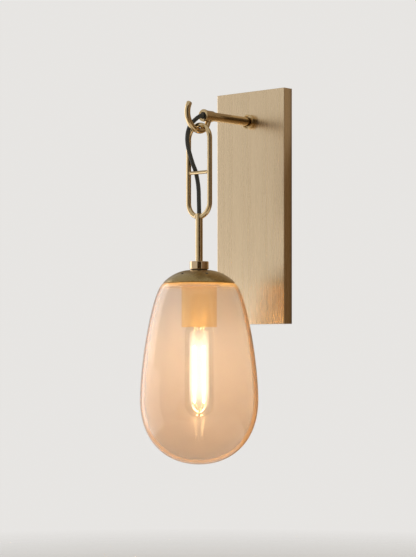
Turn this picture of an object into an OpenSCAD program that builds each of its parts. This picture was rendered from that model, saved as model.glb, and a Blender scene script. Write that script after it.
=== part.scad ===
// Wall sconce: a hooked arm on a tall backplate carries a long link, a stem and a
// capped glass shade with a tubular filament bulb.
// Millimetres. The origin is on the wall at the backplate's centre, +Y goes into the
// wall, +X is to the right of someone who faces the wall, and +Z is up.

/* [Backplate] */
// Width of the backplate
plate_w = 100; // [88:1:140]
// Height of the backplate
plate_h = 264; // [240:1:320]
// How far the backplate's face stands out from the wall
plate_d = 14; // [13.5:0.5:20]
// Thickness of the backplate's sheet
plate_wall = 1.5; // [1:0.25:2]

/* [Wall bracket] */
// Width of the wall bracket
bracket_w = 60; // [50:1:80]
// Thickness of the bracket's steel
bracket_t = 2; // [1.5:0.25:2.5]
// Depth of the bracket's end flanges, from the wall
flange_d = 10; // [9:0.5:11]
// Distance between the centres of the two slots for the outlet box's screws
slot_spacing = 86; // [80:1:90]
// Length of each slot, end to end
slot_len = 12; // [8:1:14]
// Width of each slot
slot_w = 4.8; // [4.2:0.1:5.6]
// Diameter of the hole that the supply wires come through
wire_hole_d = 30; // [22:1:36]
// Diameter of the opening behind the arm's foot
arm_window_d = 26; // [24:1:30]
// Distance from the arm's axis up to the ground screw
ground_rise = 18; // [17:0.5:22]

/* [Arm] */
// Distance from the backplate's top edge down to the arm's axis
arm_drop = 34.6; // [32:0.2:50]
// Distance from the backplate's face to the axis on which the lamp hangs
reach = 86; // [80:1:140]
// Outer diameter of the arm tube
arm_d = 10; // [9:0.5:10.5]
// Wall thickness of the arm tube
arm_wall = 1; // [0.8:0.1:1.3]
// Outer diameter of the cup-shaped rose at the arm's foot
rose_d = 16.6; // [15:0.2:22]
// Depth of the rose
rose_h = 5.3; // [4:0.1:8]
// Thickness of the rose's rim
rose_rim = 1.3; // [0.8:0.1:1.8]

/* [Ferrule] */
// Outer diameter of the ferrule on the arm's tip
ferrule_d = 12; // [11.6:0.2:14]
// Length of the ferrule
ferrule_len = 15.3; // [14:0.1:20]
// Outer diameter of the ferrule's lip
lip_d = 13.6; // [12.6:0.2:16]
// Length of the ferrule's lip
lip_len = 2.2; // [1.4:0.1:3]
// Bore of the ferrule's mouth
mouth_d = 7.6; // [7:0.1:8]
// Distance from the lamp's axis to the ferrule's mouth
mouth_gap = 6.2; // [5.8:0.1:8]

/* [Hook] */
// Diameter of the hook's rod
hook_rod = 6.4; // [5:0.2:7]
// Radius of the hook's open side, to the middle of the rod
hook_r = 19; // [17:0.5:24]
// Radius of the hook's rooted side, to the middle of the rod
hook_root_r = 15; // [12:0.5:15.5]
// Distance from the arm's axis down to the middle of the hook's lowest rod
hook_drop = 17.6; // [16:0.2:24]
// How far the hook's tip climbs past level, in degrees
hook_tip = 30; // [10:1:50]

/* [Link] */
// Diameter of the link's rod
link_rod = 5.5; // [4:0.1:6]
// Outer width of the link
link_w = 36.8; // [34:0.2:50]
// Outer height of the link
link_h = 106.8; // [90:0.2:160]
// Diameter of the crossbar
bar_d = 3.8; // [3:0.1:4.2]
// Distance from the link's top down to the crossbar's axis
bar_drop = 54.9; // [45:0.1:65]

/* [Stem] */
// Outer diameter of the stem tube
stem_d = 8; // [7.4:0.1:9]
// Wall thickness of the stem tube
stem_wall = 1; // [0.7:0.1:1.1]
// How far the stem's open top stands above the link's lowest point
stem_stand = 6.6; // [6:0.1:12]
// Length of stem that shows above the collar
stem_show = 52.6; // [30:0.2:120]
// Outer diameter of the collar
collar_d = 21; // [18:0.1:26]
// Height of the collar
collar_h = 8.7; // [8:0.1:14]

/* [Cap] */
// Diameter of the cap's rim
cap_d = 79; // [76:0.5:84]
// Height of the cap
cap_h = 14.2; // [13.8:0.1:20]
// Thickness of the cap's metal
cap_wall = 1.2; // [0.8:0.1:1.3]
// Diameter of each vent hole
vent_d = 3.2; // [1.5:0.1:4]
// Diameter of the ring of vent holes
vent_ring_d = 54.2; // [40:0.2:60]
// Number of vent holes
vent_count = 6; // [3:1:10]

/* [Shade] */
// Largest diameter of the glass shade
shade_d = 130; // [110:1:150]
// Height of the shade below the cap's rim
shade_h = 199.2; // [190:0.2:260]
// Distance from the cap's rim down to the shade's widest place
shade_waist = 128.7; // [110:0.1:140]
// Thickness of the shade's glass
shade_wall = 3.5; // [2.5:0.1:4]
// Outer diameter of the shade's neck
neck_d = 52; // [50:0.5:54]

/* [Lamp holder] */
// Outer diameter of the socket cup
cup_d = 39.3; // [38:0.1:42]
// How far the socket cup reaches below the cap's rim
cup_reach = 48.4; // [47:0.1:60]
// Thickness of the socket cup's metal
cup_wall = 0.8; // [0.6:0.1:1.1]
// Length of the spacer tube between the cap and the gallery
cap_spacer_len = 6; // [5.8:0.1:7]

/* [Bulb] */
// Diameter of the bulb's tube
bulb_d = 31.8; // [30:0.1:34]
// Distance from the cap's rim down to the bulb's lowest point
bulb_reach = 148.2; // [140:0.1:160]
// Diameter of the bulb's screw cap
bulb_cap_d = 26.4; // [26:0.1:26.6]
// Length of the lit filaments
filament_len = 64; // [50:1:70]
// Diameter of the ring of filaments
filament_ring_d = 14; // [10:0.5:18]
// Diameter of each filament
filament_d = 1.9; // [1.2:0.1:2.4]
// Number of filaments
filament_count = 4; // [2:1:6]

/* [Cord] */
// Diameter of the braided cord
cord_d = 4.8; // [4:0.1:5.2]

/* [Hidden] */
$fn = 96;
small_fn = 32;

// Clearances
thread_gap = 0.05; // radial, in a thread or a push fit
slide_gap = 0.3; // between a piece and the seat that it can leave
cover_gap = 0.3; // between the backplate and the bracket's flanges
chamfer = 0.6;

// Small hardware
nut_flats = 14;
nut_h = 3;
washer_t = 0.8;
washer_d = 16;
grub_d = 4;
grub_len = 8;
grub_sink = 0.4;
grub_socket = 2;
grub_socket_depth = 2.5;
tail_past_nut = 1; // how far the arm's thread stands past its nut
cord_strip = 0.5; // how far inside the arm's end the cord's jacket stops
lead_d = 1.8;
lead_bend = 3.5;
lead_spread = 2.2; // between the two supply leads where they leave the cord

// Terminal block and ground screw
block_w = 18;
block_h = 14;
block_t = 8.5;
block_top = 62; // above the backplate's centre
pole_pitch = 9;
pole_screw_d = 4.2;
pole_screw_h = 1;
pole_screw_inset = 3.6;
block_screw_d = 3;
block_screw_head_d = 5.4;
block_screw_head_h = 1.8;
ground_head_d = 6.4;
ground_head_h = 2.2;
ground_thread_d = 4;
ring_d = 7.4;
ring_t = 0.7;
ring_grip = 0.5; // how far the lead reaches onto its ring terminal

// Ferrule, bushing and hook
ferrule_socket = 7; // how far the arm goes into the ferrule
bushing_len = 5;
bushing_sink = 1;
hook_tip_len = 1.4; // length of the rounded tip
hook_tip_step = 0.15; // how much slimmer the tip is than the rod

// Stem, collar and cap
stem_in_collar = 4;
collar_washer_t = 0.9;
collar_washer_inset = 1.5;
nipple_d = 10;
nipple_bore = 6.4;
cap_top_r = 10.2; // radius of the cap's flat top
cap_shoulder = 0.43; // how far the flat top's direction carries into the curve
cap_rim_pull = [0.155, 0.415]; // how the curve leaves the rim, across and up
spacer_d = 14;

// Gallery, shade and gasket
gallery_wall = 1.2;
gallery_vent_d = 3;
gallery_vent_r = 21.4;
gasket_t = 0.5;
shade_gap = 0.5; // between the cap's rim and the glass below it
shade_edge_inset = 0.1; // how far the glass starts inside the cap's rim
shade_shoulder = [0.43, 0.03]; // direction of the glass at the cap, as shares
shade_side = 0.343; // share of the upper height that runs nearly upright
shade_belly = 0.63; // the same for the lower height
shade_pole = 0.574; // share of the radius that is nearly flat underneath
shade_bands = [0.48, 1.03]; // heights of the hairline cuts, as shares of the waist's height
shade_cut = 0.05; // width of such a cut
profile_steps = 20;

// Lamp holder
holder_gap = 0.3;
holder_top_wall = 3.3;
holder_floor = 10; // chamber's floor, below the cap's rim
holder_floor_t = 4;
holder_inset = 3; // above the cup's mouth
chamber_r = 14;
shell_t = 0.4;
shell_gap = 0.15; // between the shell and the bulb's cap
contact_w = 8;
contact_t = 1.2;
holder_terminal_r = 9;
holder_terminal_d = 5;
holder_terminal_h = 4;
socket_lead_bend = 3;
cord_end = 5; // below the cap's rim, where the cord's leads part

// Bulb
bulb_tip_d = 9;
bulb_tip_h = 1.5;
insulator_h = 3.5;
insulator_d = [12, 23];
bulb_cap_len = 23;
bulb_cap_wall = 0.5;
bulb_neck_in = 2.5; // how far the neck goes into the cap
bulb_neck_h = 13;
bulb_wall = 0.9;
bulb_steps = 12;
mount_r = 5.2;
mount_len = 19;
mount_flare_t = 1; // thickness of the flare that closes the bulb's neck
mount_rod_r = 0.9;
filament_top = 68.2; // below the cap's rim
wire_d = 0.7;
wire_rise = 2.5; // how far the upper wires meet the rod above the filaments
wire_drop = 8.8; // the same below them

// Derived places
arm_z = plate_h / 2 - arm_drop;
face_y = -plate_d;
inner_y = face_y + plate_wall;
lamp_y = face_y - reach;
mouth_y = lamp_y + mouth_gap;
ferrule_back_y = mouth_y + ferrule_len;
tail_y = inner_y + washer_t + nut_h + tail_past_nut;
cord_end_y = tail_y - cord_strip;
hook_low = arm_z - hook_drop;
link_top = hook_low + hook_rod / 2 + slide_gap + link_rod;
link_low = link_top - link_h;
link_bend_r = (link_w - link_rod) / 2;
bar_z = link_top - bar_drop;
stem_top = link_low + stem_stand;
collar_top = stem_top - stem_show;
collar_low = collar_top - collar_h;
stem_low = collar_top - stem_in_collar;
cap_top = collar_low - collar_washer_t;
rim_z = cap_top - cap_h;
cap_r = cap_d / 2;
gallery_top = cap_top - cap_wall - cap_spacer_len;
gallery_low = gallery_top - gallery_wall;
gallery_r = neck_d / 2 + slide_gap;
neck_top = gallery_low - gasket_t;
shoulder_z = rim_z - shade_gap;
neck_in_r = neck_d / 2 - shade_wall;
cup_in_top = gallery_low - cup_wall;
nut_top = cup_in_top - washer_t;
holder_top = nut_top - nut_h - holder_gap;
holder_r = cup_d / 2 - cup_wall - holder_gap;
holder_low = rim_z - cup_reach + holder_inset;
chamber_floor = rim_z - holder_floor;
nipple_low = holder_top - holder_top_wall - tail_past_nut;
contact_top = chamber_floor - holder_floor_t;
bulb_top = contact_top - contact_t;
insulator_top = bulb_top - bulb_tip_h;
bulb_cap_top = insulator_top - insulator_h;
bulb_cap_low = bulb_cap_top - bulb_cap_len;
bulb_r = bulb_d / 2;
bulb_neck_r = bulb_cap_d / 2 - bulb_cap_wall - thread_gap;
bulb_low = rim_z - bulb_reach;
shell_r = bulb_cap_d / 2 + shell_gap;
grub_y = -(bracket_t + flange_d) / 2;
flange_z = plate_h / 2 - plate_wall - cover_gap;
ground_z = arm_z + ground_rise;

// Route of the free cord: out of the ferrule, over the link's top, down past the
// link's left rod, behind the crossbar and into the stem
CORD_ROUTE = [
    [0, -93.8, 97.4], [-0.2, -95.8, 97], [-0.6, -97.8, 96.2], [-1.2, -99.8, 95],
    [-2, -101.7, 93.5], [-3.1, -103.6, 91.6], [-4.3, -105.5, 89.3], [-5.6, -107.2, 86.5],
    [-6.8, -108.6, 83.2], [-7.8, -109.5, 79], [-8.4, -109.9, 74.5], [-8.8, -109.7, 69.5],
    [-9, -108.6, 63.5], [-9, -106.4, 57], [-9, -103.4, 50], [-9.1, -99.8, 43],
    [-9.3, -96.2, 37.5], [-9.2, -94.3, 32], [-8.2, -93.7, 26], [-6.4, -94.4, 19.5],
    [-4.4, -95.9, 13], [-2.6, -97.7, 6.5], [-1.1, -99.1, 0], [-0.2, -99.9, -6],
    [0, -100, -11.4]
];
CORD_SIDES = 10;
LEAD_SIDES = 8;

// Points on a cubic curve from a to d, with b and c as its handles
function curve(a, b, c, d, steps) = [for (i = [0 : steps]) let (t = i / steps)
    pow(1 - t, 3) * a + 3 * t * pow(1 - t, 2) * b + 3 * t * t * (1 - t) * c + pow(t, 3) * d];

// Direction of a line of points at point i
function heading(points, i) = let (v = points[min(i + 1, len(points) - 1)]
    - points[max(i - 1, 0)]) v / norm(v);

// A profile moved inwards by its wall, for one that runs outwards and down
function inwards(points, wall) = [for (i = [0 : len(points) - 1])
    let (h = heading(points, i)) points[i] + wall * [h[1], -h[0]]];

function reversed(points) = [for (i = [len(points) - 1 : -1 : 0]) points[i]];

// Moves what is drawn about Z to the arm's axis, with Z running into the wall from y
module along_arm(y) {
    translate([0, y, arm_z]) rotate([-90, 0, 0]) children();
}

// Moves what is drawn about Z to the lamp's axis, at height z
module at_lamp(z) {
    translate([0, lamp_y, z]) children();
}

// Turns what is drawn in XY into the plane square to the wall, Y up, X into the wall
module side_plane() {
    translate([0, lamp_y, 0]) rotate([90, 0, 90]) children();
}

// Turns what is drawn in XY into the plane parallel to the wall, Y up
module front_plane() {
    translate([0, lamp_y, 0]) rotate([90, 0, 0]) children();
}

// Flat ring or short tube about Z, from z = 0 up
module ring(outer, inner, h) {
    difference() {
        cylinder(d = outer, h = h);
        translate([0, 0, -1]) cylinder(d = inner, h = h + 2);
    }
}

// Part of a bent round rod in XY, about the origin
module bent_rod(r, d, from, to) {
    rotate_extrude(angle = to - from, start = from) translate([r, 0]) circle(d = d, $fn = small_fn);
}

// Straight round rod from p to q
module rod(p, q, d) {
    v = q - p;
    translate(p) rotate([0, acos(v[2] / norm(v)), atan2(v[1], v[0])])
        cylinder(d = d, h = norm(v), $fn = small_fn);
}

module hex_nut(bore) {
    difference() {
        cylinder(d = nut_flats / cos(30), h = nut_h, $fn = 6);
        translate([0, 0, -1]) cylinder(d = bore, h = nut_h + 2);
    }
}

// Slot through the bracket, upright, centred at height z
module box_slot(z) {
    straight = slot_len - slot_w;
    translate([0, 0, z]) rotate([90, 0, 0]) {
        for (side = [-1, 1]) translate([0, side * straight / 2, -1])
            cylinder(d = slot_w, h = bracket_t + 2);
        translate([-slot_w / 2, -straight / 2, -1]) cube([slot_w, straight, bracket_t + 2]);
    }
}

module wall_bracket() {
    color("lightsteelblue") difference() {
        union() {
            translate([-bracket_w / 2, -bracket_t, -flange_z])
                cube([bracket_w, bracket_t, 2 * flange_z]);
            for (side = [-1, 1])
                translate([-bracket_w / 2, -flange_d, side * (flange_z - bracket_t / 2) - bracket_t / 2])
                    cube([bracket_w, flange_d, bracket_t]);
        }
        for (side = [-1, 1]) {
            box_slot(side * slot_spacing / 2);
            translate([0, grub_y, side * flange_z - grub_len])
                cylinder(d = grub_d + 2 * thread_gap, h = 2 * grub_len);
        }
        translate([0, 1, 0]) rotate([90, 0, 0]) cylinder(d = wire_hole_d, h = bracket_t + 2);
        translate([0, 1, arm_z]) rotate([90, 0, 0]) cylinder(d = arm_window_d, h = bracket_t + 2);
        translate([0, 1, ground_z]) rotate([90, 0, 0])
            cylinder(d = ground_thread_d + 2 * thread_gap, h = bracket_t + 2);
        block_screw_hole(thread_gap, 1);
    }
}

module backplate() {
    color("tan") difference() {
        translate([-plate_w / 2, -plate_d, -plate_h / 2]) cube([plate_w, plate_d, plate_h]);
        translate([-plate_w / 2 + plate_wall, inner_y, -plate_h / 2 + plate_wall])
            cube([plate_w - 2 * plate_wall, plate_d, plate_h - 2 * plate_wall]);
        along_arm(face_y - 1) cylinder(d = arm_d + 2 * thread_gap, h = plate_wall + 2);
        for (side = [-1, 1]) translate([0, grub_y, side * plate_h / 2 - grub_len / 2])
            cylinder(d = grub_d + 2 * thread_gap, h = grub_len);
    }
}

module backplate_screws() {
    color("dimgray") for (side = [0, 1]) mirror([0, 0, side])
        translate([0, grub_y, plate_h / 2 - grub_sink - grub_len]) difference() {
            cylinder(d = grub_d, h = grub_len, $fn = small_fn);
            translate([0, 0, grub_len - grub_socket_depth])
                cylinder(d = grub_socket / cos(30), h = grub_socket_depth + 1, $fn = 6);
        }
}

module ground_screw() {
    color("seagreen") translate([0, -bracket_t - ring_t, ground_z]) {
        rotate([90, 0, 0]) cylinder(d = ground_head_d, h = ground_head_h, $fn = 6);
        rotate([-90, 0, 0]) cylinder(d = ground_thread_d, h = bracket_t + ring_t, $fn = small_fn);
    }
}

// Ring terminal under the ground screw and its lead, up from the cord in the arm
module ground_lead() {
    lead_z = arm_z + cord_d / 2 - lead_d / 2;
    bend = -bracket_t - lead_d / 2 - thread_gap - cord_end_y;
    color("forestgreen") {
        translate([0, -bracket_t, ground_z]) rotate([90, 0, 0])
            ring(ring_d, ground_thread_d + 2 * thread_gap, ring_t);
        translate([0, cord_end_y + bend, lead_z + bend])
            cylinder(d = lead_d, h = ground_z - ring_d / 2 + ring_grip - lead_z - bend, $fn = small_fn);
        translate([0, cord_end_y, lead_z + bend]) rotate([90, 0, 90]) bent_rod(bend, lead_d, 270, 360);
    }
}

module terminal_block() {
    color("ivory") difference() {
        translate([-block_w / 2, -bracket_t - block_t, block_top - block_h])
            cube([block_w, block_t, block_h]);
        for (side = [-1, 1]) {
            translate([side * pole_pitch / 2, cord_end_y + lead_bend, block_top - block_h / 2])
                cylinder(d = lead_d + 2 * thread_gap, h = block_h, $fn = small_fn);
            for (end = [-1, 1])
                translate([side * pole_pitch / 2, 0,
                    block_top - block_h / 2 + end * (block_h / 2 - pole_screw_inset)])
                    rotate([90, 0, 0]) translate([0, 0, bracket_t + block_t - 2 * pole_screw_h])
                        cylinder(d = pole_screw_d + 2 * thread_gap, h = block_t, $fn = small_fn);
        }
        block_screw_hole(thread_gap, 1);
    }
}

module block_screw_hole(gap, past) {
    translate([0, 0, block_top - block_h / 2]) rotate([90, 0, 0]) {
        translate([0, 0, -past]) cylinder(d = block_screw_d + 2 * gap, h = bracket_t + block_t + past);
        translate([0, 0, bracket_t + block_t - block_screw_head_h])
            cylinder(d = block_screw_head_d + 2 * gap, h = block_screw_head_h + past);
    }
}

module block_screw() {
    color("silver") block_screw_hole(0, 0);
}

module terminal_screws() {
    color("gold") for (side = [-1, 1], end = [-1, 1])
        translate([side * pole_pitch / 2, 0,
            block_top - block_h / 2 + end * (block_h / 2 - pole_screw_inset)])
            rotate([90, 0, 0]) translate([0, 0, bracket_t + block_t - 2 * pole_screw_h])
                cylinder(d = pole_screw_d, h = pole_screw_h, $fn = small_fn);
}

// Line and neutral leads: out of the cord's end, round and down, then out to the block
function lead_route(side) = let (x0 = side * lead_spread / 2, x1 = side * pole_pitch / 2,
        low = block_top - block_h / 2, high = arm_z - lead_bend, fall = high - block_top) concat(
    [for (a = [0 : 22.5 : 90]) [x0, cord_end_y + lead_bend * sin(a), arm_z - lead_bend * (1 - cos(a))]],
    [for (t = [0.2 : 0.2 : 0.8]) [x0 + (x1 - x0) * (1 - cos(180 * t)) / 2, cord_end_y + lead_bend,
        high - fall * t]],
    [[x1, cord_end_y + lead_bend, block_top], [x1, cord_end_y + lead_bend, low]]);

module supply_leads() {
    color("dimgray") for (side = [-1, 1])
        swept_tube(lead_route(side), lead_d, LEAD_SIDES, [0, 1, 0], [0, 0, -1]);
}

module arm_tube() {
    color("peru") along_arm(ferrule_back_y - ferrule_socket)
        ring(arm_d, arm_d - 2 * arm_wall, tail_y - ferrule_back_y + ferrule_socket);
}

module arm_rose() {
    color("burlywood") along_arm(face_y - rose_h) rotate_extrude() polygon([
        [arm_d / 2 + thread_gap, rose_h - rose_rim], [rose_d / 2 - rose_rim, rose_h - rose_rim],
        [rose_d / 2 - rose_rim, 0], [rose_d / 2 - chamfer / 2, 0], [rose_d / 2, chamfer / 2],
        [rose_d / 2, rose_h], [arm_d / 2 + thread_gap, rose_h]
    ]);
}

module arm_lock_washer() {
    color("silver") along_arm(inner_y) ring(washer_d, arm_d + 2 * thread_gap, washer_t);
}

module arm_locknut() {
    color("silver") along_arm(inner_y + washer_t) hex_nut(arm_d + 2 * thread_gap);
}

module arm_ferrule() {
    color("burlywood") along_arm(mouth_y) rotate_extrude() polygon([
        [mouth_d / 2 + chamfer, 0], [lip_d / 2 - chamfer, 0], [lip_d / 2, chamfer],
        [lip_d / 2, lip_len - chamfer / 2], [lip_d / 2 - chamfer / 2, lip_len],
        [ferrule_d / 2, lip_len], [ferrule_d / 2, ferrule_len - chamfer],
        [ferrule_d / 2 - chamfer, ferrule_len], [arm_d / 2 + thread_gap, ferrule_len],
        [arm_d / 2 + thread_gap, ferrule_len - ferrule_socket],
        [mouth_d / 2, ferrule_len - ferrule_socket], [mouth_d / 2, chamfer]
    ]);
}

// Rod hook: a wide open side with a rounded tip, and a tighter side brazed to the ferrule
module hook() {
    tip_r = hook_rod / 2 - hook_tip_step;
    color("peru") difference() {
        union() {
            side_plane() translate([0, hook_low + hook_r]) {
                bent_rod(hook_r, hook_rod, 180 - hook_tip, 270);
                rotate([0, 0, 180 - hook_tip]) translate([hook_r, 0, 0]) rotate([90, 0, 0])
                    rotate_extrude() polygon([[0, -hook_tip_len], [tip_r, -hook_tip_len],
                        [tip_r, hook_tip_len / 3], [0.8 * tip_r, 0.8 * hook_tip_len],
                        [0.4 * tip_r, hook_tip_len], [0, hook_tip_len]]);
            }
            side_plane() translate([0, hook_low + hook_root_r])
                bent_rod(hook_root_r, hook_rod, 270, 360);
            at_lamp(hook_low + hook_root_r) translate([0, hook_root_r, 0])
                cylinder(d = hook_rod, h = hook_drop - hook_root_r, $fn = small_fn);
        }
        along_arm(mouth_y - 1) cylinder(d = ferrule_d, h = ferrule_len + 2);
        along_arm(mouth_y - 1) cylinder(d = lip_d, h = lip_len + 1);
    }
}

module mouth_bushing() {
    color("black") along_arm(mouth_y + bushing_sink)
        ring(mouth_d - 2 * thread_gap, cord_d + 2 * thread_gap, bushing_len);
}

module arm_cord() {
    color("black") along_arm(mouth_y) cylinder(d = cord_d, h = cord_end_y - mouth_y, $fn = small_fn);
}

// Points of the cord's route with a middle point between each two, on a smooth curve
function eased(route) = [for (i = [0 : len(route) - 2]) for (k = [0, 1])
    k == 0 ? route[i] : (9 * (route[i] + route[i + 1])
        - route[max(i - 1, 0)] - route[min(i + 2, len(route) - 1)]) / 16];

// Closed tube along a route that never runs along X, with its ends square to their seats
module swept_tube(route, d, sides, first, last) {
    n = len(route);
    dirs = [for (i = [0 : n - 1]) i == 0 ? first : i == n - 1 ? last : heading(route, i)];
    rings = [for (i = [0 : n - 1]) let (a = cross(dirs[i], [1, 0, 0]), u = a / norm(a),
        v = cross(dirs[i], u)) for (s = [0 : sides - 1])
            route[i] + d / 2 * (cos(360 * s / sides) * u + sin(360 * s / sides) * v)];
    skin = [for (i = [0 : n - 2]) for (s = [0 : sides - 1]) let (a = i * sides + s,
        b = i * sides + (s + 1) % sides) each [[a, a + sides, b + sides], [a, b + sides, b]]];
    start_cap = [for (s = [1 : sides - 2]) [0, s, s + 1]];
    end_cap = [for (s = [1 : sides - 2]) [(n - 1) * sides, (n - 1) * sides + s + 1, (n - 1) * sides + s]];
    polyhedron(points = rings, faces = concat(skin, start_cap, end_cap));
}

module pendant_cord() {
    route = concat(eased(CORD_ROUTE), [CORD_ROUTE[len(CORD_ROUTE) - 1]]);
    color("darkslategray") swept_tube(route, cord_d, CORD_SIDES, [0, -1, 0], [0, 0, -1]);
}

module link_rods() {
    straight = link_h - link_w;
    front_plane() {
        translate([0, link_top - link_w / 2]) bent_rod(link_bend_r, link_rod, 0, 180);
        translate([0, link_low + link_w / 2]) bent_rod(link_bend_r, link_rod, 180, 360);
    }
    for (side = [-1, 1]) at_lamp(link_low + link_w / 2) translate([side * link_bend_r, 0, 0])
        cylinder(d = link_rod, h = straight, $fn = small_fn);
}

module link() {
    color("peru") difference() {
        link_rods();
        at_lamp(link_low - link_rod) cylinder(d = stem_d, h = 4 * link_rod);
    }
}

module link_crossbar() {
    color("burlywood") difference() {
        at_lamp(bar_z) translate([-link_bend_r, 0, 0]) rotate([0, 90, 0])
            cylinder(d = bar_d, h = 2 * link_bend_r, $fn = small_fn);
        for (side = [-1, 1]) at_lamp(bar_z - link_w / 2) translate([side * link_bend_r, 0, 0])
            cylinder(d = link_rod, h = link_w, $fn = small_fn);
    }
}

module stem() {
    color("peru") at_lamp(stem_low) ring(stem_d, stem_d - 2 * stem_wall, stem_top - stem_low);
}

module stem_collar() {
    color("burlywood") at_lamp(collar_low) rotate_extrude() polygon([
        [nipple_d / 2 + thread_gap, 0], [collar_d / 2 - chamfer, 0], [collar_d / 2, chamfer],
        [collar_d / 2, collar_h - chamfer], [collar_d / 2 - chamfer, collar_h],
        [stem_d / 2 + thread_gap, collar_h], [stem_d / 2 + thread_gap, collar_h - stem_in_collar],
        [nipple_d / 2 + thread_gap, collar_h - stem_in_collar]
    ]);
}

module collar_washer() {
    color("black") at_lamp(cap_top)
        ring(collar_d - 2 * collar_washer_inset, nipple_d + 2 * thread_gap, collar_washer_t);
}

// Outer line of the cap, from its flat top out to its rim, with the rim at z = 0
function cap_line() = let (span = cap_r - cap_top_r) curve([cap_top_r, cap_h],
    [cap_top_r + cap_shoulder * span, cap_h],
    [cap_r - cap_rim_pull[0] * span, cap_rim_pull[1] * cap_h], [cap_r, 0], profile_steps);

module cap() {
    line = cap_line();
    color("darkgoldenrod") at_lamp(rim_z) difference() {
        rotate_extrude() intersection() {
            polygon(concat([[nipple_d / 2 + thread_gap, cap_h]], line,
                reversed(inwards(line, cap_wall)), [[nipple_d / 2 + thread_gap, cap_h - cap_wall]]));
            square([cap_r, cap_h]);
        }
        for (i = [0 : vent_count - 1]) rotate([0, 0, 360 * i / vent_count])
            translate([0, -vent_ring_d / 2, 0]) cylinder(d = vent_d, h = cap_h + 1, $fn = small_fn);
    }
}

module nipple() {
    color("silver") at_lamp(nipple_low) ring(nipple_d, nipple_bore, stem_low - nipple_low);
}

module cap_spacer() {
    color("silver") at_lamp(gallery_top) ring(spacer_d, nipple_d + 2 * thread_gap, cap_spacer_len);
}

// Pan with a turned-down wall, into which the glass neck screws
module gallery() {
    color("goldenrod") at_lamp(0) difference() {
        rotate_extrude() polygon([
            [nipple_d / 2 + thread_gap, gallery_low], [gallery_r, gallery_low], [gallery_r, rim_z],
            [gallery_r + gallery_wall, rim_z], [gallery_r + gallery_wall, gallery_top],
            [nipple_d / 2 + thread_gap, gallery_top]
        ]);
        for (i = [0 : vent_count - 1]) rotate([0, 0, 360 * i / vent_count])
            translate([0, -gallery_vent_r, gallery_low - 1])
                cylinder(d = gallery_vent_d, h = gallery_wall + 2, $fn = small_fn);
    }
}

module neck_gasket() {
    color("white") at_lamp(gallery_low - gasket_t) ring(neck_d, neck_d - 2 * shade_wall, gasket_t);
}

module socket_cup() {
    color("wheat") at_lamp(rim_z - cup_reach) difference() {
        cylinder(d = cup_d, h = cup_reach + gallery_low - rim_z);
        translate([0, 0, -1]) cylinder(d = cup_d - 2 * cup_wall, h = cup_reach + cup_in_top - rim_z + 1);
        cylinder(d = nipple_d + 2 * thread_gap, h = 2 * cup_reach);
    }
}

module cup_lock_washer() {
    color("silver") at_lamp(nut_top) ring(washer_d, nipple_d + 2 * thread_gap, washer_t);
}

module cup_locknut() {
    color("silver") at_lamp(nut_top - nut_h) hex_nut(nipple_d + 2 * thread_gap);
}

module lampholder_body() {
    color("whitesmoke") at_lamp(0) difference() {
        translate([0, 0, holder_low]) cylinder(r = holder_r, h = holder_top - holder_low);
        translate([0, 0, chamber_floor])
            cylinder(r = chamber_r, h = holder_top - holder_top_wall - chamber_floor);
        translate([0, 0, chamber_floor]) cylinder(d = nipple_d + 2 * thread_gap, h = cap_h + cup_reach);
        translate([0, 0, holder_low - 1])
            cylinder(r = shell_r + shell_t + thread_gap, h = contact_top - holder_low + 1);
    }
}

module lampholder_shell() {
    color("gold") at_lamp(holder_low + chamfer)
        ring(2 * (shell_r + shell_t), 2 * shell_r, contact_top - holder_low - chamfer);
}

module lampholder_contact() {
    color("gold") at_lamp(contact_top - contact_t)
        translate([-contact_w / 2, -contact_w / 2, 0]) cube([contact_w, contact_w, contact_t]);
}

module lampholder_terminals() {
    color("gold") at_lamp(chamber_floor) for (side = [-1, 1])
        translate([side * holder_terminal_r, 0, 0])
            cylinder(d = holder_terminal_d, h = holder_terminal_h, $fn = small_fn);
}

module stem_cord() {
    color("black") at_lamp(rim_z - cord_end)
        cylinder(d = cord_d, h = stem_top - rim_z + cord_end, $fn = small_fn);
}

// Two leads from the cord's end to the holder's terminals
module socket_leads() {
    lead_z = rim_z - cord_end - socket_lead_bend;
    start_x = lead_d * 0.6;
    color("dimgray") difference() {
        for (side = [0, 1]) mirror([side, 0, 0]) {
            front_plane() translate([start_x + socket_lead_bend, lead_z + socket_lead_bend])
                bent_rod(socket_lead_bend, lead_d, 180, 270);
            rod([start_x + socket_lead_bend, lamp_y, lead_z], [holder_terminal_r, lamp_y, lead_z], lead_d);
        }
        at_lamp(chamber_floor) for (side = [-1, 1]) translate([side * holder_terminal_r, 0, 0])
            cylinder(d = holder_terminal_d, h = holder_terminal_h, $fn = small_fn);
    }
}

// Outer line of the shade from the cap's rim to its lowest point, with the rim at z = 0
function shade_line() = let (r0 = cap_r - shade_edge_inset, r1 = shade_d / 2, z0 = -shade_gap,
        z1 = -shade_waist, low = shade_h - shade_waist) concat(
    curve([r0, z0], [r0 + shade_shoulder[0] * (r1 - r0), z0 - shade_shoulder[1] * shade_waist],
        [r1, z1 + shade_side * shade_waist], [r1, z1], profile_steps),
    [for (p = curve([r1, z1], [r1, z1 - shade_belly * low], [shade_pole * r1, -shade_h],
        [0, -shade_h], profile_steps)) if (p[1] < z1) p]);

module glass_shade() {
    line = shade_line();
    inner = [for (p = inwards(line, shade_wall)) if (p[1] < -shade_gap - shade_wall && p[0] > shade_wall) p];
    // One blown piece. Two hairline cuts part it into bands, so that collision follows its curve
    color("mistyrose") at_lamp(rim_z) difference() {
        rotate_extrude() polygon(concat(
            [[neck_in_r, neck_top - rim_z], [neck_d / 2, neck_top - rim_z], [neck_d / 2, -shade_gap]],
            line, [[0, -shade_h + shade_wall]], reversed(inner),
            [[neck_in_r, -shade_gap - shade_wall]]));
        for (share = shade_bands) translate([0, 0, -share * shade_waist])
            cylinder(h = shade_cut, d = 2 * shade_d);
    }
}

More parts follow.
